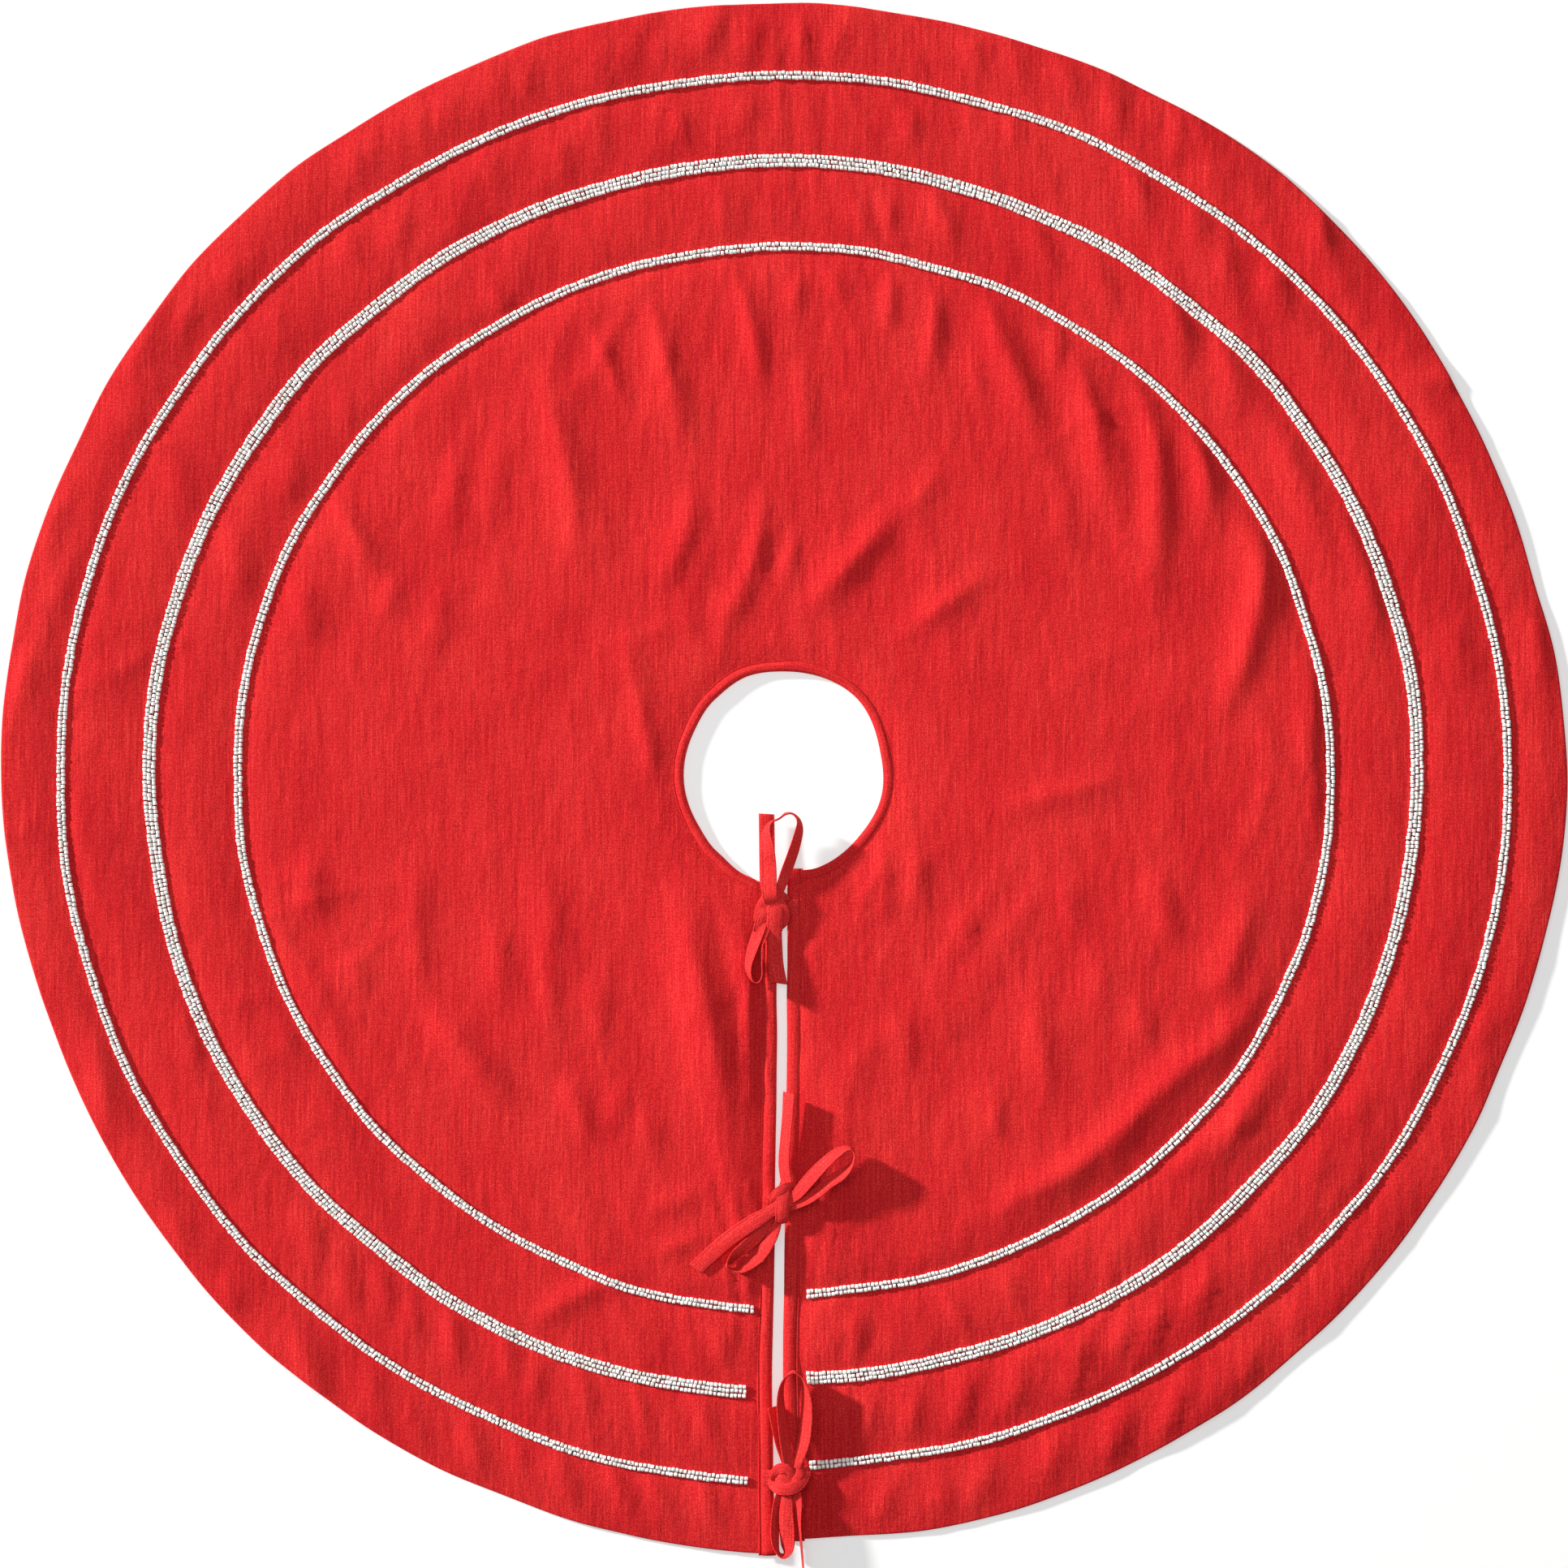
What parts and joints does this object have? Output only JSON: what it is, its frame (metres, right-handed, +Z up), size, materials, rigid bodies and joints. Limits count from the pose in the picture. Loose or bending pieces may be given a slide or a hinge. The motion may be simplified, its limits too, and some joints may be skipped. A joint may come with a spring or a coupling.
{
  "type": "tree skirt",
  "caption": "Round cloth skirt for the foot of a tree, with a trunk hole, a slit closed by tied bows, and rings of white beads sewn round it.",
  "frame": {"origin": "centre of the trunk hole, at the level of the floor that the skirt lies on", "axes": "+Z up, off the floor; the slit and its bows run from the trunk hole along -Y; +X to the right seen from above with the slit towards the viewer"},
  "size_m": [1.27, 1.2777, 0.0219],
  "materials": {
    "cover_cloth": "slubbed linen-look weave, matt",
    "lining_cloth": "plain weave, matt",
    "binding_cloth": "folded tape of the cover's cloth, edge stitched",
    "tie_tape": "folded and stitched tape, matt",
    "red_thread": "sewing thread",
    "dark_thread": "beading thread",
    "glass_beads": "opaque white lustre beads"
  },
  "bodies": {
    "skirt": {"top_cover": "cover_cloth", "lining": "lining_cloth", "neck_binding": "binding_cloth", "left_slit_binding": "binding_cloth", "right_slit_binding": "binding_cloth", "neck_stitching": "red_thread", "left_slit_stitching": "red_thread", "right_slit_stitching": "red_thread", "inner_band_thread": "dark_thread", "inner_bead_row_1": "glass_beads", "inner_bead_row_2": "glass_beads", "middle_band_thread": "dark_thread", "middle_bead_row_1": "glass_beads", "middle_bead_row_2": "glass_beads", "middle_bead_row_3": "glass_beads", "outer_band_thread": "dark_thread", "outer_bead_row_1": "glass_beads", "outer_bead_row_2": "glass_beads", "top_bow_knot": "tie_tape", "top_bow_left_lead": "tie_tape", "top_bow_right_lead": "tie_tape", "middle_bow_knot": "tie_tape", "middle_bow_left_lead": "tie_tape", "middle_bow_right_lead": "tie_tape", "bottom_bow_knot": "tie_tape", "bottom_bow_left_lead": "tie_tape", "bottom_bow_right_lead": "tie_tape"},
    "top_upper_loop": {"top_bow_upper_loop": "tie_tape"},
    "top_upper_tail": {"top_bow_upper_tail": "tie_tape"},
    "top_lower_loop": {"top_bow_lower_loop": "tie_tape"},
    "top_lower_tail": {"top_bow_lower_tail": "tie_tape"},
    "middle_right_loop": {"middle_bow_right_loop": "tie_tape"},
    "middle_upper_tail": {"middle_bow_upper_tail": "tie_tape"},
    "middle_left_loop": {"middle_bow_left_loop": "tie_tape"},
    "middle_left_tail": {"middle_bow_left_tail": "tie_tape"},
    "bottom_upper_loop": {"bottom_bow_upper_loop": "tie_tape"},
    "bottom_upper_tail": {"bottom_bow_upper_tail": "tie_tape"},
    "bottom_lower_loop": {"bottom_bow_lower_loop": "tie_tape"},
    "bottom_lower_tail": {"bottom_bow_lower_tail": "tie_tape"}
  },
  "joints": [
    {"name": "top_upper_loop_lift", "type": "hinge", "parent": "skirt", "child": "top_upper_loop", "pos_m": [-0.0124, -0.0896, 0.01438], "axis": [1, 0, 0], "range_deg": [0, 75]},
    {"name": "top_upper_tail_lift", "type": "hinge", "parent": "skirt", "child": "top_upper_tail", "pos_m": [-0.0124, -0.0896, 0.01438], "axis": [1, 0, 0], "range_deg": [0, 75]},
    {"name": "top_lower_loop_lift", "type": "hinge", "parent": "skirt", "child": "top_lower_loop", "pos_m": [-0.0179, -0.1228, 0.01338], "axis": [-1, 0, 0], "range_deg": [0, 75]},
    {"name": "top_lower_tail_lift", "type": "hinge", "parent": "skirt", "child": "top_lower_tail", "pos_m": [-0.0179, -0.1228, 0.01338], "axis": [-1, 0, 0], "range_deg": [0, 75]},
    {"name": "middle_right_loop_lift", "type": "hinge", "parent": "skirt", "child": "middle_right_loop", "pos_m": [0.0104, -0.3424, 0.01338], "axis": [0.6247, -0.7809, 0], "range_deg": [0, 75]},
    {"name": "middle_upper_tail_lift", "type": "hinge", "parent": "skirt", "child": "middle_upper_tail", "pos_m": [0.0026, -0.3304, 0.01338], "axis": [1, 0, 0], "range_deg": [0, 75]},
    {"name": "middle_left_loop_lift", "type": "hinge", "parent": "skirt", "child": "middle_left_loop", "pos_m": [-0.0046, -0.3636, 0.01238], "axis": [-0.7071, 0.7071, 0], "range_deg": [0, 75]},
    {"name": "middle_left_tail_lift", "type": "hinge", "parent": "skirt", "child": "middle_left_tail", "pos_m": [-0.0046, -0.3636, 0.01238], "axis": [-0.7071, 0.7071, 0], "range_deg": [0, 75]},
    {"name": "bottom_upper_loop_lift", "type": "hinge", "parent": "skirt", "child": "bottom_upper_loop", "pos_m": [0.0039, -0.5558, 0.01438], "axis": [1, 0, 0], "range_deg": [0, 75]},
    {"name": "bottom_upper_tail_lift", "type": "hinge", "parent": "skirt", "child": "bottom_upper_tail", "pos_m": [0.0039, -0.5558, 0.01438], "axis": [1, 0, 0], "range_deg": [0, 75]},
    {"name": "bottom_lower_loop_lift", "type": "hinge", "parent": "skirt", "child": "bottom_lower_loop", "pos_m": [-0.0047, -0.5816, 0.01338], "axis": [-1, 0, 0], "range_deg": [0, 75]},
    {"name": "bottom_lower_tail_lift", "type": "hinge", "parent": "skirt", "child": "bottom_lower_tail", "pos_m": [0.0111, -0.5824, 0.01338], "axis": [-1, 0, 0], "range_deg": [0, 75]}
  ],
  "couplings": [
    {"joint": "top_upper_tail_lift", "follows": "top_upper_loop_lift", "ratio": 1},
    {"joint": "top_lower_tail_lift", "follows": "top_lower_loop_lift", "ratio": 1},
    {"joint": "middle_left_tail_lift", "follows": "middle_left_loop_lift", "ratio": 1},
    {"joint": "bottom_upper_tail_lift", "follows": "bottom_upper_loop_lift", "ratio": 1}
  ]
}
